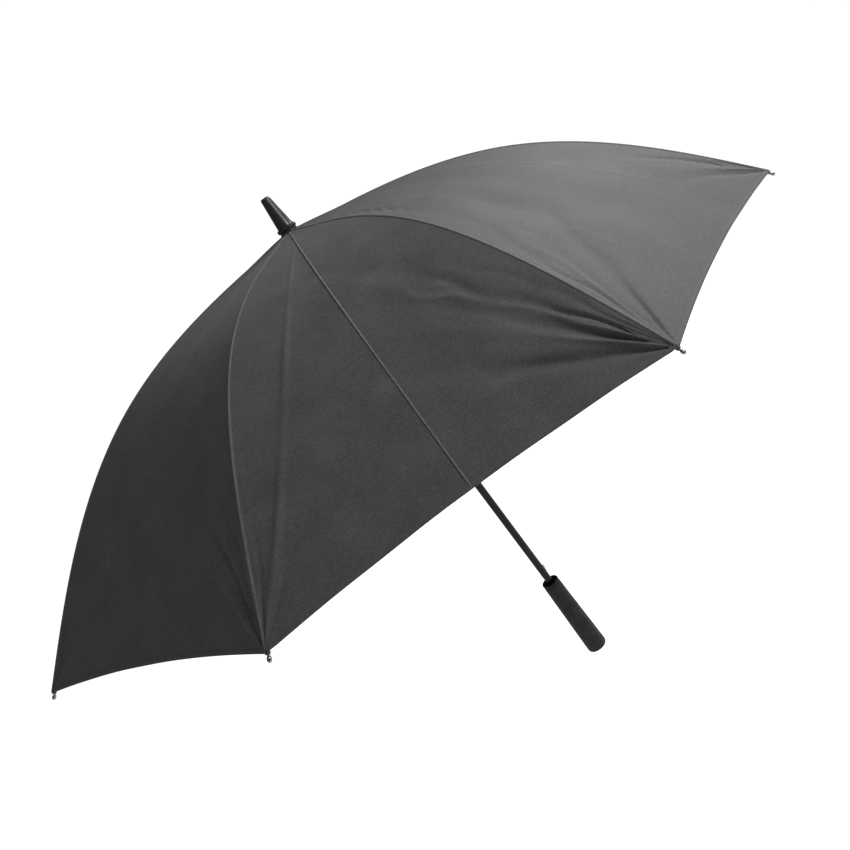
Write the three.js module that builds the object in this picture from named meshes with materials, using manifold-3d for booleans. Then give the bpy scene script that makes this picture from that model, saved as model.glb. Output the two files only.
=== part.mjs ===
// Golf umbrella, shown open. Millimetres, +Z up the shaft, origin at the centre of the hand grip.
import * as THREE from "three";
import { mergeVertices } from "three/addons/utils/BufferGeometryUtils.js";
import Module from "manifold-3d";

// Ribs and canopy
const RIB_COUNT = 8;
const RIB_PITCH = (2 * Math.PI) / RIB_COUNT;
const HALF_PITCH = RIB_PITCH / 2;
const RIB_END = 750; // arc length from the notch pivot to the rod's outer end
const TIP_END = 761; // arc length to the outer end of the tip
const SOCKET_S = 338; // arc length from the notch pivot to the stretcher socket
const ARC_LENGTH = 752; // arc length over which the rib's slope runs from start to end
const SLOPE_START = THREE.MathUtils.degToRad(5.4);
const SLOPE_GAIN = THREE.MathUtils.degToRad(38.3);
const SLOPE_PEAK = 0.474; // share of the arc where the rib bends most
const ROD_R = 1.7;
const FABRIC_T = 0.8;
const FABRIC_LIFT = 3.7; // fabric mid-surface above the rib's centre line
const CROWN_LIFT = 3.2; // extra lift at the crown, to clear the top notch
const CROWN_BLEND = 90;
const HEM_S = 752; // arc length at which the fabric's corners end
const HEM_SAG = 13; // the hem is this much shorter at the middle of a panel
const SEAM_GAP = 0.35;
const FABRIC_START = -3.5; // just inside the notch pivot, under the spike's collar

// Heights along the shaft
const NOTCH_Z = 856;
const SHAFT_TOP = 903;
const SHAFT_BOTTOM = -60;
const COLLAR_Z = 864;
const SPIKE_TOP = 925;
const GRIP_HALF = 87.5;

// Radii
const SHAFT_R = 7;
const SHAFT_BORE = 5;
const PIVOT_R = 13;
const RING_R = 15.5;
const EYE_R = 2.4;
const EYE_HOLE = 1.3;
const EYE_W = 3.2;
const SLOT_W = 4.2;
const SLOT_FLOOR_R = 10.2;

// Runner, catches
const RUNNER_BORE = 7.4;
const SLEEVE_R = 11.5;
const SLEEVE_BOTTOM = -76;
const FLANGE_BOTTOM = -80;
const KEYWAY_R = 9.9;
const KEYWAY_W = 3.8;
const CATCH_T = 2.4;
const CATCH_H = 16;
const CATCH_OUT = 9.3;
const BOTTOM_CATCH_Z = 110;

// Stretcher socket, measured from the knuckle's axis on the rib's centre line
const KNUCKLE_R = 1.9;
const CHEEK_R = 2.2;
const LUG_BACK = 8;
const LUG_DROP = 6;

const SIDES_SMALL = 6;
const SIDES_ROUND = 24;

const wasm = await Module();
wasm.setup();

const look = (color, roughness, metalness = 0) =>
  new THREE.MeshStandardMaterial({ color, roughness, metalness });
const FABRIC = look(0x26262a, 0.75);
const ROD = look(0x17171a, 0.4);
const PLASTIC = look(0x0d0d0f, 0.35);
const FOAM = look(0x1a1a1c, 0.95);
const STEEL = look(0xb8babd, 0.3, 0.9);
const TIP = look(0xd9d9d6, 0.35, 0.4);

const object = new THREE.Group();
object.name = "golf_umbrella";

// Solids

function solid(geometry) {
  const bare = geometry.clone();
  for (const key of Object.keys(bare.attributes)) {
    if (key !== "position") bare.deleteAttribute(key);
  }
  const merged = mergeVertices(bare, 1e-4);
  return new wasm.Manifold(
    new wasm.Mesh({
      numProp: 3,
      vertProperties: new Float32Array(merged.attributes.position.array),
      triVerts: new Uint32Array(merged.index.array),
    }),
  );
}

function add(name, body, material) {
  const data = body.getMesh();
  const geometry = new THREE.BufferGeometry();
  geometry.setAttribute("position", new THREE.BufferAttribute(data.vertProperties, 3));
  geometry.setIndex(new THREE.BufferAttribute(data.triVerts, 1));
  const mesh = new THREE.Mesh(geometry, material);
  mesh.name = name;
  object.add(mesh);
}

// A box between two corners.
function box(x0, x1, y0, y1, z0, z1) {
  const g = new THREE.BoxGeometry(x1 - x0, y1 - y0, z1 - z0);
  g.translate((x0 + x1) / 2, (y0 + y1) / 2, (z0 + z1) / 2);
  return solid(g);
}

// A lathe about Z from [radius, z] pairs, counter-clockwise from the lowest inner point.
function lathe(pairs, sides = SIDES_ROUND) {
  const points = pairs.map(([r, z]) => new THREE.Vector2(r, z));
  if (pairs[0][0] > 0) points.push(points[0].clone());
  const g = new THREE.LatheGeometry(points, sides);
  g.rotateX(Math.PI / 2);
  return solid(g);
}

function tube(outer, inner, z0, z1, sides = SIDES_ROUND) {
  return lathe([[inner, z0], [outer, z0], [outer, z1], [inner, z1]], sides);
}

// A cylinder across the rib's plane, centred at [x, z].
function pin(x, z, r, width, sides = 8) {
  const g = new THREE.CylinderGeometry(r, r, width, sides);
  g.translate(x, 0, z);
  return solid(g);
}

function rod(points, r) {
  const circle = new THREE.Shape();
  for (let i = 0; i < SIDES_SMALL; i += 1) {
    const a = (2 * Math.PI * i) / SIDES_SMALL;
    const [x, y] = [r * Math.cos(a), r * Math.sin(a)];
    if (i === 0) circle.moveTo(x, y);
    else circle.lineTo(x, y);
  }
  const path = new THREE.CatmullRomCurve3(points.map(([x, z]) => new THREE.Vector3(x, 0, z)));
  const steps = points.length - 1;
  return solid(new THREE.ExtrudeGeometry(circle, { steps, extrudePath: path, bevelEnabled: false }));
}

// Turns a body in the rib's plane (down is positive) and then moves it to [x, z].
function place(body, slope, x, z) {
  const m = new THREE.Matrix4().makeRotationY(slope);
  m.setPosition(x, 0, z);
  return body.transform(m.elements);
}

function aroundZ(body, angle) {
  return body.transform(new THREE.Matrix4().makeRotationZ(angle).elements);
}

// The rib's centre line in its own plane

const ARC_STEP = 1;
const arc = [[PIVOT_R, NOTCH_Z]];

function slopeAt(s) {
  const t = THREE.MathUtils.clamp(s / ARC_LENGTH, 0, 1);
  const rise = t < SLOPE_PEAK
    ? (t * t) / SLOPE_PEAK
    : 1 - ((1 - t) * (1 - t)) / (1 - SLOPE_PEAK);
  return SLOPE_START + SLOPE_GAIN * rise;
}

for (let s = 0; s < TIP_END + 10; s += ARC_STEP) {
  const slope = slopeAt(s + ARC_STEP / 2);
  const [x, z] = arc[arc.length - 1];
  arc.push([x + ARC_STEP * Math.cos(slope), z - ARC_STEP * Math.sin(slope)]);
}

// A point at arc length s, lifted off the centre line along its normal.
function ribPoint(s, lift = 0) {
  const slope = slopeAt(s);
  const [nx, nz] = [Math.sin(slope), Math.cos(slope)];
  let base;
  if (s <= 0) {
    base = [PIVOT_R + s * Math.cos(slope), NOTCH_Z - s * Math.sin(slope)];
  } else {
    const i = Math.floor(s / ARC_STEP);
    const f = s / ARC_STEP - i;
    base = arc[i].map((value, axis) => value * (1 - f) + arc[i + 1][axis] * f);
  }
  return [base[0] + lift * nx, base[1] + lift * nz];
}

function ribSpan(from, to, steps) {
  const points = [];
  for (let i = 0; i <= steps; i += 1) points.push(ribPoint(from + ((to - from) * i) / steps));
  return points;
}

function fabricLift(s) {
  const t = THREE.MathUtils.clamp(s / CROWN_BLEND, 0, 1);
  return FABRIC_LIFT + CROWN_LIFT * (1 - t * t * (3 - 2 * t));
}

const SOCKET_SLOPE = slopeAt(SOCKET_S);
const SOCKET = ribPoint(SOCKET_S);

function fromSocket(along, up) {
  const [c, s] = [Math.cos(SOCKET_SLOPE), Math.sin(SOCKET_SLOPE)];
  return [SOCKET[0] + along * c + up * s, SOCKET[1] - along * s + up * c];
}

// The stretcher is as long as the chord from the notch pivot to its socket pivot, so the runner's
// pivots stay at the notch pivots' radius while the umbrella closes.
const LUG = fromSocket(-LUG_BACK, -LUG_DROP);
const STRETCHER = Math.hypot(LUG[0] - PIVOT_R, NOTCH_Z - LUG[1]);
const RUNNER_Z = 2 * LUG[1] - NOTCH_Z;
const TOP_CATCH_Z = RUNNER_Z + FLANGE_BOTTOM - CATCH_H - 1; // just under the open runner

// Shaft, spike and grip

function catchSlot(z) {
  return box(0, SHAFT_R + 1, -CATCH_T / 2 - 0.3, CATCH_T / 2 + 0.3, z - 1.5, z + CATCH_H + 1.5);
}

const shaftTube = tube(SHAFT_R, SHAFT_BORE, SHAFT_BOTTOM, SHAFT_TOP);
add(
  "shaft",
  shaftTube.subtract(catchSlot(TOP_CATCH_Z)).subtract(catchSlot(BOTTOM_CATCH_Z)),
  ROD,
);

const SPIKE_BORE = SHAFT_R + 0.3;
add(
  "spike",
  lathe([
    [SPIKE_BORE, COLLAR_Z],
    [14.6, COLLAR_Z],
    [14.6, COLLAR_Z + 3],
    [16.6, COLLAR_Z + 4],
    [17, COLLAR_Z + 5],
    [17, COLLAR_Z + 7.4],
    [13.6, COLLAR_Z + 9.4],
    [12.8, COLLAR_Z + 11],
    [8, SPIKE_TOP - 5],
    [7, SPIKE_TOP - 1.6],
    [5, SPIKE_TOP],
    [0, SPIKE_TOP],
    [0, SHAFT_TOP + 0.3],
    [SPIKE_BORE, SHAFT_TOP + 0.3],
    [SPIKE_BORE, COLLAR_Z],
  ].slice(0, -1)),
  PLASTIC,
);

add("grip_core", tube(9.5, SPIKE_BORE, -80, 84, 24), PLASTIC);
add(
  "grip_foam",
  lathe([
    [9.8, -84],
    [17.4, -84],
    [19.2, -82.6],
    [19.9, -80],
    [19.9, -72],
    [18.8, -20],
    [17.4, 50],
    [17, 80],
    [16.2, 84],
    [9.8, 84],
  ]),
  FOAM,
);
add(
  "grip_collar",
  lathe([
    [SPIKE_BORE, 84.3],
    [16.2, 84.3],
    [16.6, 85.2],
    [16.6, 89.4],
    [15.8, 90.4],
    [13.6, 90.4],
    [13, 89.6],
    [13, 86.6],
    [SPIKE_BORE, 86.6],
  ]),
  PLASTIC,
);
add(
  "grip_end_cap",
  lathe([
    [0, -GRIP_HALF],
    [12, -GRIP_HALF],
    [16.2, -86.1],
    [16.8, -84.3],
    [7, -84.3],
    [7, -66],
    [0, -66],
  ]),
  PLASTIC,
);

// The two spring catches lie in the shaft's bore and stand out through its slots.
function springCatch(z) {
  const half = CATCH_T / 2;
  const leaf = box(2.3, 4.2, -1.8, 1.8, z - 12, z + CATCH_H + 2);
  const fin = new THREE.Shape([
    new THREE.Vector2(4, z),
    new THREE.Vector2(SHAFT_R + 0.4, z),
    new THREE.Vector2(CATCH_OUT, z + CATCH_H - 3),
    new THREE.Vector2(CATCH_OUT, z + CATCH_H),
    new THREE.Vector2(4, z + CATCH_H),
  ]);
  const g = new THREE.ExtrudeGeometry(fin, { depth: CATCH_T, bevelEnabled: false });
  g.translate(0, 0, -half);
  g.rotateX(Math.PI / 2);
  return leaf.add(solid(g));
}

add("top_catch", springCatch(TOP_CATCH_Z), STEEL);
add("bottom_catch", springCatch(BOTTOM_CATCH_Z), STEEL);

// Top notch and runner: slotted rings with a wire groove

function slottedRing(z0, z1, bore, slot0, slot1) {
  let ring = tube(RING_R, bore, z0, z1);
  ring = ring.subtract(tube(RING_R + 1, PIVOT_R - 1.1, -1.1, 1.1));
  for (let k = 0; k < RIB_COUNT; k += 1) {
    const slot = box(SLOT_FLOOR_R, RING_R + 1, -SLOT_W / 2, SLOT_W / 2, slot0, slot1);
    ring = ring.subtract(aroundZ(slot, (k + 0.5) * RIB_PITCH));
  }
  return ring;
}

function wire(z) {
  const g = new THREE.TorusGeometry(PIVOT_R, 0.8, 6, 24);
  g.translate(0, 0, z);
  return solid(g);
}

const notch = slottedRing(-6, 5, RUNNER_BORE - 0.3, -6.1, 3);
add("top_notch", notch.translate([0, 0, NOTCH_Z]), PLASTIC);
add("notch_wire", wire(NOTCH_Z), STEEL);

const keyway = box(6, KEYWAY_R, -KEYWAY_W / 2, KEYWAY_W / 2, FLANGE_BOTTOM - 1, 7);
const sleeve = lathe([
  [RUNNER_BORE, FLANGE_BOTTOM],
  [13.6, FLANGE_BOTTOM],
  [14.5, FLANGE_BOTTOM + 1.2],
  [14.5, SLEEVE_BOTTOM],
  [SLEEVE_R, SLEEVE_BOTTOM + 3],
  [SLEEVE_R, -16],
  [13.2, -4.9],
  [RUNNER_BORE, -4.9],
]);
const runner = slottedRing(-5, 6, RUNNER_BORE, -3, 6.1).add(sleeve).subtract(keyway);
add("runner", runner.translate([0, 0, RUNNER_Z]), PLASTIC);
add("runner_wire", wire(RUNNER_Z), STEEL);

// Rib parts in the plane y = 0, then turned to each rib's azimuth

const eyeHole = (x, z) => pin(x, z, EYE_HOLE, EYE_W + 2, 6);

function innerRib() {
  const rodPart = rod(ribSpan(1.5, SOCKET_S - 6, 9), ROD_R);
  const eye = pin(PIVOT_R, NOTCH_Z, EYE_R, EYE_W);
  const saddle = box(-16, -2.6, -2.3, 2.3, -2.6, 2.2);
  const cheek = (y0, y1) => {
    const ear = box(-3, 0, y0, y1, -CHEEK_R, CHEEK_R);
    return ear.add(pin(0, 0, CHEEK_R, y1 - y0).translate([0, (y0 + y1) / 2, 0]));
  };
  const lug = box(-LUG_BACK - 2, -LUG_BACK + 2, -1.2, 1.2, -LUG_DROP, -2)
    .add(pin(-LUG_BACK, -LUG_DROP, 2.1, 2.4))
    .add(pin(-LUG_BACK, -LUG_DROP, 1, 6.6, 6));
  const fitting = saddle.add(cheek(1.1, 2.3)).add(cheek(-2.3, -1.1)).add(lug);
  const placed = place(fitting, SOCKET_SLOPE, SOCKET[0], SOCKET[1]);
  return rodPart.add(eye).subtract(eyeHole(PIVOT_R, NOTCH_Z)).add(placed);
}

function outerRib() {
  const knuckle = pin(0, 0, KNUCKLE_R, 1.6).add(box(0, 5, -0.8, 0.8, -1.3, 1.3));
  const rodPart = rod(ribSpan(SOCKET_S + 3.6, RIB_END, 11), ROD_R);
  return rodPart.add(place(knuckle, SOCKET_SLOPE, SOCKET[0], SOCKET[1]));
}

function stretcher() {
  const end = STRETCHER;
  const bar = rod([[1.5, 0], [end / 2, 0], [end - 10, 0]], 1.6);
  const eye = pin(0, 0, EYE_R, EYE_W);
  const fork = box(end - 12, end - 4.5, -3, 3, -2.2, 2.2)
    .add(box(end - 5, end, 1.5, 3, -2.2, 2.2))
    .add(box(end - 5, end, -3, -1.5, -2.2, 2.2))
    .add(pin(end, 0, 2.4, 1.5).translate([0, 2.25, 0]))
    .add(pin(end, 0, 2.4, 1.5).translate([0, -2.25, 0]))
    .subtract(pin(end, 0, EYE_HOLE, 8, 6));
  const flat = bar.add(eye).subtract(eyeHole(0, 0)).add(fork);
  const slope = -Math.atan2(LUG[1] - RUNNER_Z, LUG[0] - PIVOT_R);
  return place(flat, slope, PIVOT_R, RUNNER_Z);
}

function ribTip() {
  const start = 741;
  const length = TIP_END - start;
  const bulb = HEM_S + 2 - start;
  const g = lathe([
    [0, RIB_END + 0.4 - start],
    [ROD_R + 0.3, RIB_END + 0.4 - start],
    [ROD_R + 0.3, 0],
    [2.4, 0],
    [2.4, bulb],
    [3.1, bulb + 1],
    [3.1, length - 2.4],
    [1.8, length],
    [0, length],
  ], SIDES_SMALL);
  const along = g.transform(new THREE.Matrix4().makeRotationY(Math.PI / 2).elements);
  const [x, z] = ribPoint(start);
  return place(along, slopeAt(start + length / 2), x, z);
}

// A canopy panel between two ribs, as straight chords across from seam to seam.
function panel(sAt, rows, columns) {
  const positions = [];
  const index = [];
  const at = (side, i, j) => (side * (rows + 1) + i) * (columns + 1) + j;
  for (const side of [-0.5, 0.5]) {
    for (let i = 0; i <= rows; i += 1) {
      for (let j = 0; j <= columns; j += 1) {
        const v = (2 * j) / columns - 1;
        const s = sAt(i / rows, v);
        const [x, z] = ribPoint(s, fabricLift(s) + side * FABRIC_T);
        const half = ribPoint(s, fabricLift(s))[0] * Math.sin(HALF_PITCH) - SEAM_GAP;
        positions.push(x * Math.cos(HALF_PITCH), v * half, z);
      }
    }
  }
  const quad = (a, b, c, d) => index.push(a, b, c, a, c, d);
  for (let i = 0; i < rows; i += 1) {
    for (let j = 0; j < columns; j += 1) {
      quad(at(1, i, j), at(1, i + 1, j), at(1, i + 1, j + 1), at(1, i, j + 1));
      quad(at(0, i, j), at(0, i, j + 1), at(0, i + 1, j + 1), at(0, i + 1, j));
    }
    quad(at(0, i, 0), at(0, i + 1, 0), at(1, i + 1, 0), at(1, i, 0));
    quad(at(1, i, columns), at(1, i + 1, columns), at(0, i + 1, columns), at(0, i, columns));
  }
  for (let j = 0; j < columns; j += 1) {
    quad(at(0, 0, j), at(1, 0, j), at(1, 0, j + 1), at(0, 0, j + 1));
    quad(at(0, rows, j), at(0, rows, j + 1), at(1, rows, j + 1), at(1, rows, j));
  }
  const g = new THREE.BufferGeometry();
  g.setAttribute("position", new THREE.Float32BufferAttribute(positions, 3));
  g.setIndex(index);
  return solid(g);
}

const lerp = THREE.MathUtils.lerp;
const innerPanel = panel((u) => lerp(FABRIC_START, SOCKET_S - 0.2, u), 8, 2);
const outerPanel = panel(
  (u, v) => lerp(SOCKET_S + 0.2, HEM_S - HEM_SAG * (1 - v * v), u),
  8,
  4,
);

// The front panel faces -Y: rib 1 is just to its right seen from there, and the count runs
// counter-clockwise seen from above.
const ribParts = [
  ["rib_inner", innerRib(), ROD],
  ["rib_outer", outerRib(), ROD],
  ["stretcher", stretcher(), ROD],
  ["tip", ribTip(), TIP],
];
const panelParts = [
  ["canopy_inner", innerPanel, FABRIC],
  ["canopy_outer", outerPanel, FABRIC],
];
for (const [name, body, material] of ribParts) {
  for (let k = 0; k < RIB_COUNT; k += 1) {
    add(`${name}_${k + 1}`, aroundZ(body, -Math.PI / 2 + (k + 0.5) * RIB_PITCH), material);
  }
}
for (const [name, body, material] of panelParts) {
  for (let k = 0; k < RIB_COUNT; k += 1) {
    add(`${name}_${k + 1}`, aroundZ(body, -Math.PI / 2 + k * RIB_PITCH), material);
  }
}

export default object;
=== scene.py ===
"""Golf umbrella, open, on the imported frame. Metres, +Z up the shaft, origin at the grip's centre."""

import math

import bmesh
import bpy
import numpy as np
from mathutils import Matrix, Vector


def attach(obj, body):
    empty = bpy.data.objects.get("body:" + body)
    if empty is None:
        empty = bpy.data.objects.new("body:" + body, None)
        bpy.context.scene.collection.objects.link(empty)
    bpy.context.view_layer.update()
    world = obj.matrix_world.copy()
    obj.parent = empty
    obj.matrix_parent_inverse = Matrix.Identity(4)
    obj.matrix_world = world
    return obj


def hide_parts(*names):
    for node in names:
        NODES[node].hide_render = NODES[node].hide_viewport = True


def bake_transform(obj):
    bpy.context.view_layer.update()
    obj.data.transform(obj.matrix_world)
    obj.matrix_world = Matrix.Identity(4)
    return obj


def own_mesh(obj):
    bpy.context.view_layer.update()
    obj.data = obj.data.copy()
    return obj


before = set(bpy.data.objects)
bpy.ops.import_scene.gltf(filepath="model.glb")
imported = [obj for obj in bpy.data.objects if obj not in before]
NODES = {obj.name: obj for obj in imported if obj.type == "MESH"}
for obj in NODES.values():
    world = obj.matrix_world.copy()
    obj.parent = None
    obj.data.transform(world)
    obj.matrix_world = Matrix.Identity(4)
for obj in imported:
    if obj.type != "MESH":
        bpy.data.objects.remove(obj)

# Ribs and canopy, as in the CAD
RIBS = 8
PITCH = 2 * math.pi / RIBS
HALF = PITCH / 2
PIVOT_R = 0.013
NOTCH_Z = 0.856
ARC = 0.752
SLOPE_START = math.radians(5.4)
SLOPE_GAIN = math.radians(38.3)
SLOPE_PEAK = 0.474
SOCKET_S = 0.338
HEM_S = 0.752
HEM_SAG = 0.013
TIP_END = 0.761
FABRIC_LIFT = 0.0037
CROWN_LIFT = 0.0032
CROWN_BLEND = 0.09
CROWN_START = 0.0035

# Spike, grip and shaft, as in the CAD
GRIP_TOP = 0.0904
GRIP_BOTTOM = -0.0875
GRIP_CORE_R = 0.0098
SPIKE_BASE = 0.864
SPIKE_TOP = 0.925
SPIKE_HOLE_TOP = 0.9034
SHAFT_HOLE = 0.0073

PANEL_TURN = {k: -math.pi / 2 + (k - 1) * PITCH for k in range(1, RIBS + 1)}
RIB_TURN = {k: -math.pi / 2 + (k - 0.5) * PITCH for k in range(1, RIBS + 1)}

# Cloth
THREAD = 0.0009
STITCH = 0.003
STITCH_ROW = 0.0008
SEAM_ROW = 0.0034  # how far the stitches lie from the seam, and from the hem's edge
HEM_ROW = 0.0062
HEM_BAND = 0.0026  # half the width of the turned hem
HOLLOW = 0.0085  # how far the cloth hangs in between two ribs
FRONT_FOLD = 0.0019  # height of the pressed fold in the front panel, and of those in the others
SIDE_FOLD = 0.0004
DIMPLE = 0.0026  # a dent in the middle of the right panel, and puckers beside its front rib
PUCKER = 0.0016
TAPE_HALF = 0.0115
TAPE_T = 0.0004
UPPER_TIE_S = 0.19
LOWER_TIE_S = 0.56

# Stage and light
FLOOR_HALF = 60.0
FLOOR_DROP = 0.55
STUDIO_WHITE = 1.05
STUDIO_FILL = 0.168
FLOOR_GLOW = 0.92
KEY_POWER = 99.0
FRONT_POWER = 18.0
GLINT_POWER = 9.0


# Camera

def make_camera():
    """In front of the canopy and above it, rolled so that the shaft leans."""
    data = bpy.data.cameras.new("camera")
    camera = bpy.data.objects.new("camera", data)
    bpy.context.scene.collection.objects.link(camera)
    elevation = math.radians(19.85)
    roll = math.radians(34.7)
    turn = math.radians(-5.3)
    distance = 1.336
    pan_right = 0.3999
    pan_up = -0.3179
    rise = 0.863
    forward = Vector((0, math.cos(elevation), -math.sin(elevation)))
    level = Vector((1, 0, 0))
    upright = Vector((0, math.sin(elevation), math.cos(elevation)))
    right = level * math.cos(roll) - upright * math.sin(roll)
    up = level * math.sin(roll) + upright * math.cos(roll)
    place = -distance * forward + pan_right * right + pan_up * up
    about = Matrix.Rotation(turn, 3, "Z")
    axes = [about @ v for v in (right, up, -forward)]
    matrix = Matrix(axes).transposed().to_4x4()
    matrix.translation = about @ place + Vector((0, 0, rise))
    camera.matrix_world = matrix
    data.sensor_width = 36
    data.lens = 35.77
    data.shift_x = -0.138
    data.shift_y = 0.0095
    data.clip_end = 200
    bpy.context.scene.camera = camera


make_camera()
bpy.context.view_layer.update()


# Materials

class Shade:
    """A material's node tree, with short calls for the nodes used here."""

    def __init__(self, name, **values):
        self.material = bpy.data.materials.new(name)
        self.material.use_nodes = True
        self.tree = self.material.node_tree
        self.shader = self.tree.nodes["Principled BSDF"]
        for socket, value in values.items():
            self.shader.inputs[socket.replace("_", " ")].default_value = value

    def link(self, source, target):
        self.tree.links.new(source, target)

    def node(self, kind, **settings):
        made = self.tree.nodes.new("ShaderNode" + kind)
        for key, value in settings.items():
            setattr(made, key, value)
        return made

    def feed(self, made, inputs):
        for key, value in inputs.items():
            if isinstance(value, bpy.types.NodeSocket):
                self.link(value, made.inputs[key])
            else:
                made.inputs[key].default_value = value
        return made

    def math(self, operation, a, b=0.0, c=0.0):
        made = self.node("Math", operation=operation)
        return self.feed(made, {0: a, 1: b, 2: c}).outputs[0]

    def noise(self, coords, scale, detail=2.0, rough=0.5):
        made = self.node("TexNoise")
        self.feed(made, {"Vector": coords, "Scale": scale, "Detail": detail, "Roughness": rough})
        return made.outputs["Fac"]

    def spread(self, value, low, high, out_low, out_high):
        made = self.node("MapRange")
        self.feed(made, {0: value, 1: low, 2: high, 3: out_low, 4: out_high})
        return made.outputs[0]

    def ramp(self, value, stops):
        made = self.node("ValToRGB")
        self.link(value, made.inputs[0])
        band = made.color_ramp
        band.elements[0].position, band.elements[0].color = stops[0][0], (*stops[0][1], 1)
        band.elements[1].position, band.elements[1].color = stops[-1][0], (*stops[-1][1], 1)
        for place, colour in stops[1:-1]:
            band.elements.new(place).color = (*colour, 1)
        return made.outputs[0]

    def blend(self, share, a, b):
        made = self.node("MixRGB")
        return self.feed(made, {0: share, 1: a, 2: b}).outputs[0]

    def bump(self, height, distance, strength=1.0, under=None):
        made = self.node("Bump")
        self.feed(made, {"Height": height, "Distance": distance, "Strength": strength})
        if under is not None:
            self.link(under, made.inputs["Normal"])
        return made.outputs["Normal"]

    def finish(self, **sockets):
        for key, source in sockets.items():
            self.link(source, self.shader.inputs[key.replace("_", " ")])
        return self.material

    def object_coords(self):
        return self.node("TexCoord").outputs["Object"]

    def cloth_coords(self):
        return self.node("UVMap", uv_map="cloth").outputs[0]

    def attribute(self, name):
        return self.node("Attribute", attribute_name=name).outputs["Fac"]


def near(shade, value, centre, width):
    """1 on a line where value equals centre, falling to 0 half a width away."""
    off = shade.math("ABSOLUTE", shade.math("SUBTRACT", value, centre))
    return shade.spread(off, width * 0.25, width * 0.5, 1.0, 0.0)


def fabric_material(name, tone=1.0, stitches=True):
    """Charcoal pongee: fine plain weave, faint mottling and creases, stitches beside seam and hem."""
    s = Shade(name, Roughness=0.72, Sheen_Weight=0.04, Sheen_Roughness=0.4, Specular_IOR_Level=0.1)
    cloth = s.cloth_coords()
    apart = s.node("SeparateXYZ")
    s.link(cloth, apart.inputs[0])
    across, along = apart.outputs[0], apart.outputs[1]
    warp = s.math("SINE", s.math("MULTIPLY", across, 2 * math.pi / THREAD))
    weft = s.math("SINE", s.math("MULTIPLY", along, 2 * math.pi / THREAD))
    weave = s.math("MULTIPLY", warp, weft)
    grain = s.noise(cloth, 480, 3, 0.7)
    mottle = s.noise(cloth, 14, 5, 0.6)
    slub = s.noise(cloth, 150, 3, 0.65)
    dark = [c * tone for c in (0.027, 0.027, 0.0275)]
    light = [c * tone for c in (0.080, 0.080, 0.081)]
    mix = s.math("MULTIPLY_ADD", grain, 0.52, s.math("MULTIPLY", mottle, 0.22))
    mix = s.math("MULTIPLY_ADD", slub, 0.16, s.math("ADD", mix, 0.05))
    colour = s.ramp(mix, [(0.34, dark), (0.66, light)])
    wrinkle = s.noise(cloth, 16, 3, 0.5)
    normal = s.bump(wrinkle, 0.0014, 0.35)
    normal = s.bump(slub, 0.0004, 0.3, normal)
    normal = s.bump(weave, 0.00008, 0.35, normal)
    normal = s.bump(grain, 0.0002, 0.3, normal)
    if stitches:
        seam = near(s, s.attribute("from_seam"), SEAM_ROW, STITCH_ROW)
        hem = near(s, s.attribute("from_hem"), HEM_ROW, STITCH_ROW)
        row = s.math("MAXIMUM", seam, hem)
        place = s.math("ADD", across, along)
        beat = s.math("SINE", s.math("MULTIPLY", place, 2 * math.pi / STITCH))
        dash = s.math("MULTIPLY", row, s.spread(beat, -0.5, 0.1, 0.0, 1.0))
        yarn = [c * tone for c in (0.085, 0.085, 0.086)]
        colour = s.blend(dash, colour, (*yarn, 1))
        normal = s.bump(row, -0.0004, 0.8, normal)
        normal = s.bump(dash, 0.0004, 0.7, normal)
    rough = s.spread(mottle, 0.3, 0.7, 0.66, 0.78)
    return s.finish(Base_Color=colour, Roughness=rough, Normal=normal)


def plastic_material(name, shade=(0.006, 0.006, 0.0065), rough=0.2, coat=0.35, shine=0.4):
    """Black moulded plastic: slightly cloudy, scuffed, with a fine moulded grain."""
    s = Shade(name, Coat_Weight=coat, Coat_Roughness=0.2, Specular_IOR_Level=shine)
    where = s.object_coords()
    cloud = s.noise(where, 60, 4, 0.6)
    fine = s.noise(where, 900, 2, 0.5)
    scuff = s.noise(where, 140, 4, 0.6)
    colour = s.ramp(cloud, [(0.3, shade), (0.75, [c * 1.7 for c in shade])])
    roughness = s.spread(scuff, 0.4, 0.75, rough, rough + 0.1)
    normal = s.bump(fine, 0.000003, 0.3)
    return s.finish(Base_Color=colour, Roughness=roughness, Normal=normal)


def rod_material(name, rough=0.34, tone=1.0):
    """Black pultruded glass fibre: fine upright streaks under a satin skin."""
    s = Shade(name, Coat_Weight=0.03, Coat_Roughness=0.3, Specular_IOR_Level=0.14)
    where = s.object_coords()
    stretched = s.node("Mapping")
    s.feed(stretched, {"Vector": where, "Scale": (900, 900, 22)})
    streak = s.noise(stretched.outputs[0], 1.0, 3, 0.6)
    fleck = s.noise(where, 420, 2, 0.5)
    dark = [c * tone for c in (0.008, 0.008, 0.0085)]
    light = [c * tone for c in (0.021, 0.021, 0.022)]
    colour = s.ramp(streak, [(0.3, dark), (0.75, light)])
    roughness = s.spread(fleck, 0.35, 0.7, rough - 0.06, rough + 0.12)
    normal = s.bump(streak, 0.00008, 0.5)
    return s.finish(Base_Color=colour, Roughness=roughness, Normal=normal)


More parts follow.
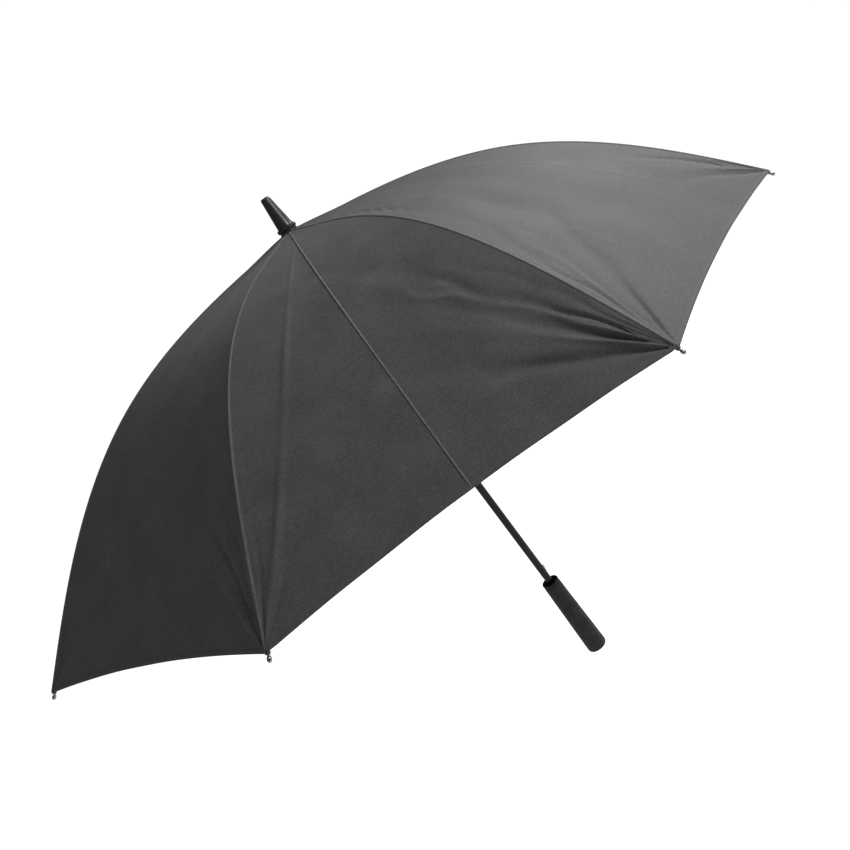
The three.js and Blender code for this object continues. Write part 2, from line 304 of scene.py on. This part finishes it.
def foam_material(name):
    """Closed-cell EVA foam: matt, with fine open pores and a slightly worn, paler skin."""
    s = Shade(name, Roughness=0.85, Specular_IOR_Level=0.12, Sheen_Weight=0.07, Sheen_Roughness=0.5)
    where = s.object_coords()
    pores = s.node("TexVoronoi", feature="F1")
    s.feed(pores, {"Vector": where, "Scale": 1050.0, "Randomness": 1.0})
    cells = pores.outputs["Distance"]
    skin = s.noise(where, 45, 4, 0.6)
    speck = s.noise(where, 420, 4, 0.8)
    share = s.math("MULTIPLY_ADD", speck, 0.75, s.math("MULTIPLY", skin, 0.25))
    colour = s.ramp(share, [(0.36, (0.006, 0.006, 0.0062)), (0.64, (0.038, 0.038, 0.0385))])
    normal = s.bump(cells, 0.00035, 0.45)
    normal = s.bump(speck, 0.0005, 0.35, normal)
    return s.finish(Base_Color=colour, Normal=normal)


def metal_material(name, shade=(0.5, 0.51, 0.53), rough=0.26):
    """Plated metal: fine level scratches, and patches of tarnish."""
    s = Shade(name, Metallic=1.0)
    where = s.object_coords()
    brushed = s.node("Mapping")
    s.feed(brushed, {"Vector": where, "Scale": (300, 300, 2600)})
    scratch = s.noise(brushed.outputs[0], 1.0, 4, 0.7)
    tarnish = s.noise(where, 120, 4, 0.6)
    colour = s.ramp(tarnish, [(0.3, [c * 0.6 for c in shade]), (0.65, shade)])
    roughness = s.spread(scratch, 0.3, 0.75, rough, rough + 0.22)
    normal = s.bump(scratch, 0.00003, 0.5)
    return s.finish(Base_Color=colour, Roughness=roughness, Normal=normal)


CANOPY = fabric_material("canopy_fabric")
# The seam cloth is the canopy's fabric painted 1.32 times lighter: a painted highlight along every
# seam ridge.
SEAM_PAINTED_HIGHLIGHT = fabric_material("seam_fabric_painted_highlight", tone=1.32, stitches=False)
HEM = fabric_material("hem_fabric", stitches=False)
PLASTIC = plastic_material("black_plastic")
GLOSS = plastic_material("gloss_plastic", (0.007, 0.007, 0.0075), 0.36, 0.06, 0.3)
MATT = plastic_material("matt_plastic", (0.005, 0.005, 0.0052), 0.5, 0.0, 0.12)
ROD = rod_material("glass_fibre")
SHAFT = rod_material("shaft_skin", 0.32, 0.5)
FOAM = foam_material("eva_foam")
STEEL = metal_material("plated_steel")
NICKEL = metal_material("tip_metal", (0.2, 0.195, 0.19), 0.16)


# The rib's line, as in the CAD

def slope_at(s):
    """How steeply the rib falls at arc length s: slowly at both ends, fastest at SLOPE_PEAK."""
    t = np.clip(np.asarray(s, float) / ARC, 0, 1)
    early = t * t / SLOPE_PEAK
    late = 1 - (1 - t) ** 2 / (1 - SLOPE_PEAK)
    return SLOPE_START + SLOPE_GAIN * np.where(t < SLOPE_PEAK, early, late)


STEP = 0.0005
STATIONS = np.arange(0, TIP_END + 0.01, STEP)
MIDDLES = slope_at(STATIONS[:-1] + STEP / 2)
LINE_X = PIVOT_R + np.concatenate([[0], np.cumsum(np.cos(MIDDLES))]) * STEP
LINE_Z = NOTCH_Z - np.concatenate([[0], np.cumsum(np.sin(MIDDLES))]) * STEP


def rib_line(s, lift=0.0):
    """Distance from the shaft's axis and height at arc length s, lifted along the normal."""
    s = np.asarray(s, float)
    slope = slope_at(s)
    x = np.where(s < 0, PIVOT_R + s * math.cos(SLOPE_START), np.interp(s, STATIONS, LINE_X))
    z = np.where(s < 0, NOTCH_Z - s * math.sin(SLOPE_START), np.interp(s, STATIONS, LINE_Z))
    return x + lift * np.sin(slope), z + lift * np.cos(slope)


def fabric_lift(s):
    t = np.clip(np.asarray(s, float) / CROWN_BLEND, 0, 1)
    return FABRIC_LIFT + CROWN_LIFT * (1 - t * t * (3 - 2 * t))


def turned(points, angle):
    """Points turned about the shaft by angle."""
    c, s = math.cos(angle), math.sin(angle)
    p = np.asarray(points, float)
    return np.stack([p[..., 0] * c - p[..., 1] * s, p[..., 0] * s + p[..., 1] * c, p[..., 2]], -1)


# Mesh helpers

WELD = 1e-6


def new_object(name, points, faces, material, smooth=True):
    mesh = bpy.data.meshes.new(name)
    mesh.from_pydata([tuple(p) for p in np.asarray(points).reshape(-1, 3)], [], faces)
    mesh.materials.append(material)
    if smooth:
        mesh.shade_smooth()
    obj = bpy.data.objects.new(name, mesh)
    bpy.context.scene.collection.objects.link(obj)
    return obj


def grid_faces(rows, columns, wrap=False):
    faces = []
    last = columns if wrap else columns - 1
    for i in range(rows - 1):
        for j in range(last):
            a, b = i * columns + j, i * columns + (j + 1) % columns
            faces.append((a, a + columns, b + columns, b))
    return faces


def set_float(obj, name, values):
    attribute = obj.data.attributes.new(name, "FLOAT", "POINT")
    attribute.data.foreach_set("value", np.asarray(values, np.float32).ravel())


def set_cloth_map(obj, uv):
    layer = obj.data.uv_layers.new(name="cloth")
    index = np.zeros(len(obj.data.loops), np.int32)
    obj.data.loops.foreach_get("vertex_index", index)
    flat = np.asarray(uv, np.float32).reshape(-1, 2)[index]
    layer.data.foreach_set("uv", flat.ravel())


def lathe(name, profile, material, sides=72, sharp=32):
    """A closed turned piece about the shaft's axis, from (radius, height) pairs.

    A profile that starts off the axis closes on itself. One that starts on it ends on it too.
    """
    turns = np.arange(sides) * 2 * math.pi / sides
    rings = [[(r * math.cos(a), r * math.sin(a), z) for a in turns] for r, z in profile]
    count = len(rings)
    open_end = profile[0][0] > WELD
    spans = count if open_end else count - 1
    faces = []
    for i in range(spans):
        for j in range(sides):
            a, b = i * sides, ((i + 1) % count) * sides
            faces.append((a + j, a + (j + 1) % sides, b + (j + 1) % sides, b + j))
    obj = new_object(name, rings, faces, material)
    turn_outward(obj, weld=True)
    sharpen(obj, sharp)
    return obj


def turn_outward(obj, weld=False):
    """Turns every face outward and smooths the mesh, after merging points that coincide."""
    work = bmesh.new()
    work.from_mesh(obj.data)
    if weld:
        bmesh.ops.remove_doubles(work, verts=work.verts, dist=WELD)
        bmesh.ops.dissolve_degenerate(work, edges=work.edges, dist=WELD)
    bmesh.ops.recalc_face_normals(work, faces=work.faces)
    work.to_mesh(obj.data)
    work.free()
    obj.data.shade_smooth()


def sharpen(obj, degrees):
    obj.data.set_sharp_from_angle(angle=math.radians(degrees))


def sweep(name, path, normals, outline, material):
    """A section swept along a path. outline gives (sideways, up) pairs round the section.

    It is one list of pairs, or one list for each point of the path.
    """
    path, normals = np.asarray(path, float), np.asarray(normals, float)
    tangent = np.gradient(path, axis=0)
    tangent /= np.linalg.norm(tangent, axis=1, keepdims=True)
    side = np.cross(tangent, normals)
    side /= np.linalg.norm(side, axis=1, keepdims=True)
    outline = np.asarray(outline, float)
    if outline.ndim == 2:
        outline = np.repeat(outline[None], len(path), 0)
    rings = path[:, None] + side[:, None] * outline[..., :1] + normals[:, None] * outline[..., 1:]
    rows, columns = rings.shape[:2]
    faces = grid_faces(rows, columns, wrap=True)
    faces.append(tuple(range(columns)))
    faces.append(tuple(range((rows - 1) * columns, rows * columns))[::-1])
    obj = new_object(name, rings, faces, material)
    length = np.concatenate([[0], np.cumsum(np.linalg.norm(np.diff(path, axis=0), axis=1))])
    around = np.broadcast_to(outline[..., 0], (rows, columns))
    set_cloth_map(obj, np.stack([around, np.broadcast_to(length[:, None], around.shape)], -1))
    turn_outward(obj)
    sharpen(obj, 50)
    return obj


# The canopy's surface

COLUMNS = 121
INNER_ROWS = 56
OUTER_ROWS = 150
TIGHT = 0.42  # how closely the columns crowd towards the ribs

# Gathers at each panel's two hem corners: (angle from the rib, width, depth, length), the angles
# and widths in degrees and the rest in metres. Side -1 is clockwise seen from above.
LIGHT_GATHERS = [
    (12, 3.0, 0.0010, 0.10),
    (30, 6.0, 0.0008, 0.08),
]
GATHERS = {
    (1, 1): [
        (7, 2.0, 0.0014, 0.24),
        (15, 2.4, 0.0040, 0.32),
        (19, 2.0, -0.0024, 0.34),
        (24, 4.0, 0.0054, 0.20),
        (32, 3.5, -0.0026, 0.22),
        (48, 6.0, 0.0062, 0.28),
    ],
    (2, -1): [
        (6, 2.0, 0.0013, 0.28),
        (10, 2.0, -0.0010, 0.30),
        (15, 2.5, 0.0010, 0.26),
        (30, 4.5, 0.0034, 0.26),
        (42, 6.0, -0.0010, 0.20),
    ],
    (8, 1): [(8, 2.4, 0.0016, 0.16), (21, 3.2, 0.0036, 0.16), (34, 4.5, -0.0018, 0.14)],
    (1, -1): [(7, 2.2, 0.0014, 0.14), (17, 4.0, -0.0014, 0.14), (30, 6.0, 0.0014, 0.12)],
    (8, -1): [(14, 4.0, 0.0018, 0.16), (30, 5.0, 0.0018, 0.14), (44, 6.0, -0.0012, 0.14)],
    (2, 1): [(10, 3.0, 0.0024, 0.18), (24, 5.0, -0.0016, 0.16), (40, 7.0, 0.0016, 0.14)],
}


def across_at(t):
    """The share across the panel, from -1 to 1, for evenly spaced t."""
    return t * (1 + TIGHT - TIGHT * t * t)


def gathers(panel, s, v, half):
    """How far the surface dips at the creases that fan out of the two hem corners."""
    dip = np.zeros(np.broadcast(s, v).shape)
    for side in (-1, 1):
        out = (1 - side * v) * half
        back = HEM_S - s
        reach = np.hypot(out, back)
        angle = np.degrees(np.arctan2(out, np.maximum(back, 1e-6)))
        for centre, width, depth, length in GATHERS.get((panel, side), LIGHT_GATHERS):
            peak = 0.3 * length  # the crease is deepest here, then runs out
            bend = 1.6 * np.sin(27 * reach + centre) + 0.7 * np.sin(71 * reach + 2 * centre)
            spread = width * (1 + 0.35 * np.sin(38 * reach + 3 * centre))
            line = np.exp(-(((angle - centre - bend) / spread) ** 2))
            fade = np.clip(2 - reach / length, 0, 1)
            dip += depth * line * (reach / peak) * np.exp(1 - reach / peak) * fade
    return dip


def outward_at(s):
    """The canopy's outward direction at arc length s, in the plane of +X and +Z."""
    slope = slope_at(s)
    return np.stack([np.sin(slope), np.zeros_like(slope), np.cos(slope)], -1)


def ridge(v, centre, width):
    return np.exp(-(((v - centre) / width) ** 2))


def canopy_points(panel, s, v):
    """Points, still facing +X, for arc lengths s and shares v from -1 to 1 across the panel."""
    x, z = rib_line(s, fabric_lift(s))
    half = x * math.sin(HALF)
    share = np.clip(s / HEM_S, 0, 1)
    hollow = HOLLOW * share * (1 - share ** 3 * 0.55) * (1 - np.abs(v) ** 1.7)
    waves = np.sin(7.3 * v + 1.7 * panel) * np.sin(21 * s + 2.1 * panel) * 0.0008
    waves += np.sin(13.1 * v + 9.0 * s + panel) * 0.0005
    waves *= share * (1 - v * v)
    if panel == 1:
        folds = FRONT_FOLD * ridge(v, 0.1 - 1.45 * s, 0.020)
    else:
        folds = SIDE_FOLD * ridge(v, 0.03 * share - 0.45, 0.018)
        folds += SIDE_FOLD * ridge(v, 0.5, 0.02)
    folds *= np.minimum(1, share * 3) * (0.75 + 0.25 * np.sin(31 * s + panel))
    radial = 0.0003 * np.cos(v * 26 + panel) * ridge(s, 0.05, 0.05) * (1 - v * v)
    dip = hollow + waves + gathers(panel, s, v, half) - folds + radial * np.minimum(1, share * 8)
    if panel == 2:
        dip = dip + DIMPLE * ridge(s, 0.44, 0.045) * ridge(v, -0.375, 0.16)
        ripple = 1 + 0.4 * np.sin(210 * s + 25 * v)
        dip += PUCKER * ridge(s, 0.25, 0.08) * ridge(v, -0.78, 0.09) * ripple
    points = np.stack([x * math.cos(HALF), v * half, z], -1)
    return points - dip[..., None] * outward_at(s)


def panel_grid(panel):
    """Arc lengths, shares, points and normals of a whole panel, crown to hem."""
    v = across_at(np.linspace(-1, 1, COLUMNS))
    start = np.linspace(-CROWN_START, SOCKET_S, INNER_ROWS)
    end = HEM_S - HEM_SAG * (1 - v * v)
    share = np.linspace(0, 1, OUTER_ROWS)[1:, None] ** 0.8
    outer = SOCKET_S + share * (end[None] - SOCKET_S)
    s = np.concatenate([np.repeat(start[:, None], COLUMNS, 1), outer])
    v = np.broadcast_to(v, s.shape)
    points = canopy_points(panel, s, v)
    down = np.gradient(points, axis=0)
    over = np.gradient(points, axis=1)
    normals = np.cross(down, over)
    normals /= np.linalg.norm(normals, axis=-1, keepdims=True)
    normals *= np.sign((normals * outward_at(s)).sum(-1, keepdims=True))
    return s, v, points, normals


def cloth_object(name, panel, s, v, points, normals):
    """A panel's sheet, with its weave laid along it and its distances from seam and hem."""
    rows, columns = s.shape
    turn = PANEL_TURN[panel]
    obj = new_object(name, turned(points, turn), grid_faces(rows, columns), CANOPY)
    x, _ = rib_line(s, fabric_lift(s))
    half = x * math.sin(HALF)
    set_cloth_map(obj, np.stack([v * half, s], -1))
    set_float(obj, "from_seam", (1 - np.abs(v)) * half)
    set_float(obj, "from_hem", HEM_S - HEM_SAG * (1 - v * v) - s)
    obj.data.normals_split_custom_set_from_vertices(turned(normals, turn).reshape(-1, 3).tolist())
    return obj


def gather_piece(obj, body):
    """The piece rides its half of the panel, on a mesh of its own."""
    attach(obj, body)
    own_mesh(obj)


def build_hem(panel):
    """The hem is folded to the outside and sewn down: a narrow raised band along the edge."""
    v = across_at(np.linspace(-1, 1, 81)) * 0.995
    end = HEM_S - HEM_SAG * (1 - v * v)
    middle = end - HEM_BAND
    path = canopy_points(panel, middle, v)
    before = canopy_points(panel, middle - 0.001, v)
    along = np.gradient(path, axis=0)
    normals = np.cross(path - before, along)
    normals /= np.linalg.norm(normals, axis=1, keepdims=True)
    normals *= np.sign(normals[:, 2:3])
    outline = [
        (-0.0027, 0.0),
        (-0.0028, 0.0002),
        (-0.0024, 0.0004),
        (0.0022, 0.0005),
        (0.0028, 0.0002),
        (0.0028, -0.0004),
        (0.0022, -0.0007),
        (-0.0022, -0.0006),
    ]
    turn = PANEL_TURN[panel]
    hem = sweep(f"hem_{panel}", turned(path, turn), turned(normals, turn), outline, HEM)
    gather_piece(hem, f"panel_hem_{panel}")
    return hem


def build_centre_seam(part, low, high, rows, body):
    """The front panel is sewn from two pieces, with a flat seam from crown to hem."""
    s = np.linspace(low, high, rows)
    v = np.zeros(rows)
    path = canopy_points(1, s, v)
    outline = [
        (-0.0015, -0.0002),
        (-0.0013, 0.0003),
        (-0.0003, 0.0006),
        (0.0004, 0.0011),
        (0.0009, 0.0009),
        (0.0010, -0.0002),
    ]
    turn = PANEL_TURN[1]
    normals = turned(outward_at(s), turn)
    # The seam's material carries a painted highlight: the cloth is painted lighter than the canopy.
    seam = sweep(f"centre_seam_{part}", turned(path, turn), normals, outline, SEAM_PAINTED_HIGHLIGHT)
    gather_piece(seam, body)
    return seam


def build_panel(panel):
    """A panel is two sheets that meet at the line of the stretcher sockets."""
    s, v, points, normals = panel_grid(panel)
    cut = INNER_ROWS
    low = cut - 1
    upper = [values[:cut] for values in (s, v, points, normals)]
    lower = [values[low:] for values in (s, v, points, normals)]
    inner = cloth_object(f"canopy_panel_{panel}", panel, *upper)
    outer = cloth_object(f"canopy_panel_hem_{panel}", panel, *lower)
    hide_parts(f"canopy_inner_{panel}")
    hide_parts(f"canopy_outer_{panel}")
    gather_piece(inner, f"panel_{panel}")
    gather_piece(outer, f"panel_hem_{panel}")
    hem = build_hem(panel)
    on_inner, on_outer = [], [hem]
    if panel == 1:
        on_inner.append(build_centre_seam("upper", 0.0, SOCKET_S, 60, "panel_1"))
        on_outer.append(build_centre_seam("lower", SOCKET_S, HEM_S - HEM_SAG, 70, "panel_hem_1"))


for number in range(1, RIBS + 1):
    build_panel(number)


# Seams over the ribs, ties under the cloth, and the tips

def rib_frame(rib, s, lift):
    """Path and normals along a rib, turned to its place."""
    s = np.asarray(s, float)
    x, z = rib_line(s, lift)
    path = np.stack([x, np.zeros_like(x), z], -1)
    return turned(path, RIB_TURN[rib]), turned(outward_at(s), RIB_TURN[rib])


def bend_at_socket(piece):
    """The piece's transform is baked into its mesh."""
    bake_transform(piece)


def build_rib_seam(rib):
    """The raised seam between two panels, over the rib."""
    s = np.linspace(0.0, HEM_S - 0.002, 150)
    path, normals = rib_frame(rib, s, fabric_lift(s))
    fall = math.tan(HALF) * np.sin(slope_at(s))
    section = [
        (-0.0020, 0.0000),
        (-0.0016, 0.0004),
        (-0.0011, 0.0006),
        (-0.0005, 0.0008),
        (0.0000, 0.0009),
        (0.0005, 0.0008),
        (0.0011, 0.0006),
        (0.0016, 0.0004),
        (0.0020, 0.0000),
        (0.0011, -0.0006),
        (-0.0011, -0.0006),
    ]
    outline = np.array([[(t, h - abs(t) * f) for t, h in section] for f in fall])
    # The seam's material carries a painted highlight: the cloth is painted lighter than the canopy.
    seam = sweep(f"rib_seam_{rib}", path, normals, outline, SEAM_PAINTED_HIGHLIGHT)
    bend_at_socket(seam)


def build_rib_tape(rib):
    """The seam's turned-in cloth: a tape under the canopy along each rib, as wide as room allows."""
    s = np.linspace(0.001, HEM_S - 0.006, 110)
    path, normals = rib_frame(rib, s, fabric_lift(s) - 0.0008)
    fall = math.tan(HALF) * np.sin(slope_at(s)) + 0.09
    x, _ = rib_line(s)
    wide = np.minimum(TAPE_HALF, 0.8 * x * math.sin(HALF))
    wide = np.minimum(wide, 0.0035 + 0.35 * (s[-1] - s))
    shares = np.linspace(-1, 1, 9)
    outline = []
    for f, w in zip(fall, wide):
        top = [(t * w, -abs(t) * w * f) for t in shares]
        under = [(t * w, -abs(t) * w * f - TAPE_T) for t in shares[::-1]]
        outline.append(top + under)
    tape = sweep(f"rib_tape_{rib}", path, normals, np.array(outline), HEM)
    bend_at_socket(tape)


def build_rib_tie(rib, part, s, body):
    """A loop of tape sewn to the seam and tied round the rib."""
    loop = [(-0.0028, 0.0), (-0.0024, 0.0004), (0.0, 0.0006), (0.0024, 0.0004), (0.0028, 0.0)]
    x, z = rib_line(s)
    slope = float(slope_at(s))
    along = np.array([math.cos(slope), 0, -math.sin(slope)])
    up = np.array([math.sin(slope), 0, math.cos(slope)])
    centre = np.array([float(x), 0, float(z)]) + up * 0.0007
    turns = np.linspace(0, 2 * math.pi, 29)[:-1]
    rings = []
    for offset, swell in loop:
        ring = []
        for a in turns:
            wide = (0.0023 + swell) * math.cos(a)
            tall = (0.0030 + swell) * math.sin(a)
            ring.append(centre + along * offset + up * tall + np.array([0, wide, 0]))
        rings.append(ring)
    points = turned(np.array(rings), RIB_TURN[rib])
    faces = grid_faces(len(loop), len(turns), wrap=True)
    tie = new_object(f"rib_tie_{part}_{rib}", points, faces, HEM)
    around, over = np.meshgrid(turns * 0.003, np.arange(len(loop)) * 0.0014)
    set_cloth_map(tie, np.stack([around, over], -1))
    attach(tie, body)


def build_tip(rib):
    """A metal tip on the rib's end: a sleeve, a neck and a bead."""
    start = TIP_END - 0.020
    profile = [
        (0.0022, 0.0),
        (0.0024, 0.0006),
        (0.0024, 0.0112),
        (0.0017, 0.0122),
        (0.0017, 0.0132),
        (0.0023, 0.0140),
        (0.0027, 0.0154),
        (0.0027, 0.0172),
        (0.0023, 0.0188),
        (0.0014, 0.0198),
        (0.0, 0.0200),
    ]
    x, z = rib_line(start)
    slope = float(slope_at(start + 0.011))
    tip = lathe(f"rib_tip_{rib}", profile, NICKEL, sides=28, sharp=50)
    lay = Matrix.Rotation(math.pi / 2 + slope, 4, "Y")
    lay = Matrix.Translation((float(x), 0, float(z))) @ lay
    tip.data.transform(Matrix.Rotation(RIB_TURN[rib], 4, "Z") @ lay)
    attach(tip, f"rib_end_{rib}")
    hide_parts(f"tip_{rib}")


def build_corner_wrap(rib):
    """The cloth's corner, sewn round the tip's sleeve."""
    s = np.linspace(HEM_S - 0.028, HEM_S + 0.0005, 14)
    path, normals = rib_frame(rib, s, 0.0011)
    turns = np.linspace(0, 2 * math.pi, 25)[:-1]
    drop = math.tan(HALF) * math.sin(float(slope_at(HEM_S)))
    rings = []
    for share in np.linspace(0, 1, len(s)):
        wide = 0.0046 * (1 - share) + 0.0028 * share
        tall = 0.0024 * (1 - share) + 0.0029 * share
        ring = []
        for a in turns:
            side = wide * math.cos(a)
            ring.append((side, tall * math.sin(a) - abs(side) * drop * (1 - 0.5 * share)))
        rings.append(ring)
    wrap = sweep(f"corner_wrap_{rib}", path, normals, np.array(rings), HEM)
    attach(wrap, f"rib_end_{rib}")


for number in range(1, RIBS + 1):
    build_rib_seam(number)
    build_rib_tape(number)
    build_rib_tie(number, "upper", UPPER_TIE_S, f"rib_{number}")
    build_rib_tie(number, "lower", LOWER_TIE_S, f"rib_end_{number}")
    build_tip(number)
    build_corner_wrap(number)


# Spike, grip and shaft

def cut_flats(nut, above):
    """Eight flats round the nut's flange."""
    for vertex in nut.data.vertices:
        x, y, z = vertex.co
        radius = math.hypot(x, y)
        if radius > 0.0149 and z > above:
            turn = (math.atan2(y, x) + HALF) % PITCH - HALF
            scale = min(1.0, 0.0165 / math.cos(turn) / radius)
            vertex.co = (x * scale, y * scale, z)


def build_spike():
    """A tapered spike over a moulded nut: a plain skirt under a wider eight-sided flange."""
    body = lathe(
        "spike_body",
        [
            (SHAFT_HOLE, SPIKE_BASE + 0.0092),
            (0.0136, SPIKE_BASE + 0.0092),
            (0.0133, SPIKE_BASE + 0.0104),
            (0.0129, SPIKE_BASE + 0.0120),
            (0.0118, SPIKE_BASE + 0.0230),
            (0.0098, SPIKE_BASE + 0.0400),
            (0.0083, SPIKE_TOP - 0.0070),
            (0.0080, SPIKE_TOP - 0.0035),
            (0.0073, SPIKE_TOP - 0.0012),
            (0.0063, SPIKE_TOP - 0.0002),
            (0.0054, SPIKE_TOP),
            (0.0050, SPIKE_TOP - 0.0007),
            (0.0, SPIKE_TOP - 0.0008),
            (0.0, SPIKE_HOLE_TOP),
            (SHAFT_HOLE, SPIKE_HOLE_TOP),
        ],
        GLOSS,
        sharp=40,
    )
    nut = lathe(
        "spike_nut",
        [
            (SHAFT_HOLE, SPIKE_BASE + 0.0001),
            (0.0120, SPIKE_BASE + 0.0001),
            (0.0146, SPIKE_BASE - 0.0014),
            (0.0149, SPIKE_BASE - 0.0010),
            (0.0146, SPIKE_BASE + 0.0020),
            (0.0147, SPIKE_BASE + 0.0032),
            (0.0162, SPIKE_BASE + 0.0038),
            (0.0170, SPIKE_BASE + 0.0046),
            (0.0170, SPIKE_BASE + 0.0070),
            (0.0164, SPIKE_BASE + 0.0082),
            (0.0150, SPIKE_BASE + 0.0091),
            (0.0140, SPIKE_BASE + 0.0093),
            (SHAFT_HOLE, SPIKE_BASE + 0.0093),
        ],
        GLOSS,
        sides=96,
        sharp=30,
    )
    cut_flats(nut, SPIKE_BASE + 0.0036)
    sharpen(nut, 22)
    for piece in (body, nut):
        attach(piece, "shaft")
    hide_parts("spike")


def build_grip():
    """A foam sleeve that widens downward, a plastic cup round the shaft and a button at the end."""
    grip = lathe(
        "foam_grip",
        [
            (GRIP_CORE_R, -0.0840),
            (0.0154, -0.0840),
            (0.0157, -0.0858),
            (0.0174, -0.0862),
            (0.0189, -0.0856),
            (0.0197, -0.0843),
            (0.0200, -0.0818),
            (0.0200, -0.0760),
            (0.0198, -0.0680),
            (0.0194, -0.0480),
            (0.0189, -0.0220),
            (0.0183, 0.0080),
            (0.0177, 0.0380),
            (0.0172, 0.0650),
            (0.0170, 0.0790),
            (0.0167, 0.0822),
            (0.0160, 0.0838),
            (0.0150, 0.0841),
            (GRIP_CORE_R, 0.0841),
        ],
        FOAM,
        sides=96,
        sharp=60,
    )
    collar = lathe(
        "grip_cup",
        [
            (SHAFT_HOLE, 0.0843),
            (0.0163, 0.0843),
            (0.0167, 0.0850),
            (0.0168, 0.0872),
            (0.0167, 0.0890),
            (0.0161, 0.0901),
            (0.0152, GRIP_TOP),
            (0.0141, 0.0902),
            (0.0133, 0.0892),
            (0.0130, 0.0866),
            (SHAFT_HOLE, 0.0866),
        ],
        MATT,
        sharp=40,
    )
    cap = lathe(
        "grip_end_button",
        [
            (0.0, GRIP_BOTTOM),
            (0.0122, GRIP_BOTTOM),
            (0.0140, GRIP_BOTTOM + 0.0002),
            (0.0150, GRIP_BOTTOM + 0.0008),
            (0.0153, GRIP_BOTTOM + 0.0016),
            (0.0153, -0.0844),
            (0.0070, -0.0844),
            (0.0070, -0.0660),
            (0.0, -0.0660),
        ],
        MATT,
        sharp=40,
    )
    for piece, node, slot in [
        (grip, "grip_foam", "foam"),
        (collar, "grip_collar", "plastic"),
        (cap, "grip_end_cap", "plastic"),
    ]:
        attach(piece, "shaft")
        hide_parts(node)


def build_crown_washer():
    """A thin dished washer between the canopy's crown and the notch."""
    washer = lathe(
        "crown_washer",
        [
            (SHAFT_HOLE, SPIKE_BASE - 0.0022),
            (0.0125, SPIKE_BASE - 0.0022),
            (0.0165, SPIKE_BASE - 0.0032),
            (0.0198, SPIKE_BASE - 0.0048),
            (0.0200, SPIKE_BASE - 0.0052),
            (0.0196, SPIKE_BASE - 0.0054),
            (0.0163, SPIKE_BASE - 0.0038),
            (0.0123, SPIKE_BASE - 0.0028),
            (SHAFT_HOLE, SPIKE_BASE - 0.0028),
        ],
        MATT,
        sharp=40,
    )
    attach(washer, "shaft")


build_spike()
build_crown_washer()
build_grip()


# CAD nodes that stay, with their finish

def finish_node(name, material, degrees=38):
    obj = NODES[name]
    obj.data.materials.clear()
    obj.data.materials.append(material)
    obj.data.shade_smooth()
    sharpen(obj, degrees)


STEEL_NODES = ["top_catch", "bottom_catch", "notch_wire", "runner_wire"]
PLASTIC_NODES = ["top_notch", "runner", "grip_core"]
for label in STEEL_NODES:
    finish_node(label, STEEL)
for label in PLASTIC_NODES:
    finish_node(label, PLASTIC)
finish_node("shaft", SHAFT)
for number in range(1, RIBS + 1):
    for label in ("rib_inner", "rib_outer", "stretcher"):
        finish_node(f"{label}_{number}", ROD, 62)


# Stage and light

def build_stage():
    """A white floor well below the grip."""
    turns = [(-1, -1), (1, -1), (1, 1), (-1, 1)]
    corners = [(x * FLOOR_HALF, y * FLOOR_HALF, 0) for x, y in turns]
    shade = Shade("floor_paper", Roughness=0.9, Emission_Strength=FLOOR_GLOW)
    paper = shade.noise(shade.object_coords(), 3.0, 3, 0.5)
    white = shade.ramp(paper, [(0.3, (0.93, 0.93, 0.93)), (0.7, (0.96, 0.96, 0.96))])
    material = shade.finish(Base_Color=white, Emission_Color=white)
    floor = new_object("floor", corners, [(0, 1, 2, 3)], material, smooth=False)
    floor.location = (0, 0, GRIP_BOTTOM - FLOOR_DROP)


def area_light(name, place, target, size, power):
    data = bpy.data.lights.new(name, "AREA")
    data.shape = "DISK"
    data.size = size
    data.energy = power
    lamp = bpy.data.objects.new(name, data)
    bpy.context.scene.collection.objects.link(lamp)
    lamp.location = place
    aim = Vector(target) - Vector(place)
    lamp.rotation_euler = aim.to_track_quat("-Z", "Y").to_euler()


def build_lights():
    """A key from behind on the right, two softer lamps in front, and a studio that shows white."""
    scene = bpy.context.scene
    world = bpy.data.worlds.new("studio")
    scene.world = world
    world.use_nodes = True
    tree = world.node_tree
    shown = tree.nodes["Background"]
    shown.inputs["Color"].default_value = (1, 1, 1, 1)
    shown.inputs["Strength"].default_value = STUDIO_WHITE
    lit = tree.nodes.new("ShaderNodeBackground")
    lit.inputs["Color"].default_value = (1, 1, 1, 1)
    lit.inputs["Strength"].default_value = STUDIO_FILL
    path = tree.nodes.new("ShaderNodeLightPath")
    mix = tree.nodes.new("ShaderNodeMixShader")
    tree.links.new(path.outputs["Is Camera Ray"], mix.inputs[0])
    tree.links.new(lit.outputs[0], mix.inputs[1])
    tree.links.new(shown.outputs[0], mix.inputs[2])
    tree.links.new(mix.outputs[0], tree.nodes["World Output"].inputs["Surface"])
    area_light("key", (2.15, 1.25, 2.2), (0.1, -0.05, 0.7), 1.2, KEY_POWER)
    area_light("front", (1.1, -0.8, 1.35), (0.2, -0.25, 0.65), 0.5, FRONT_POWER)
    area_light("glint", (-0.3, -1.5, 2.6), (0, 0, 0.7), 0.6, GLINT_POWER)
    scene.view_settings.view_transform = "Standard"
    scene.view_settings.look = "None"


build_stage()
build_lights()
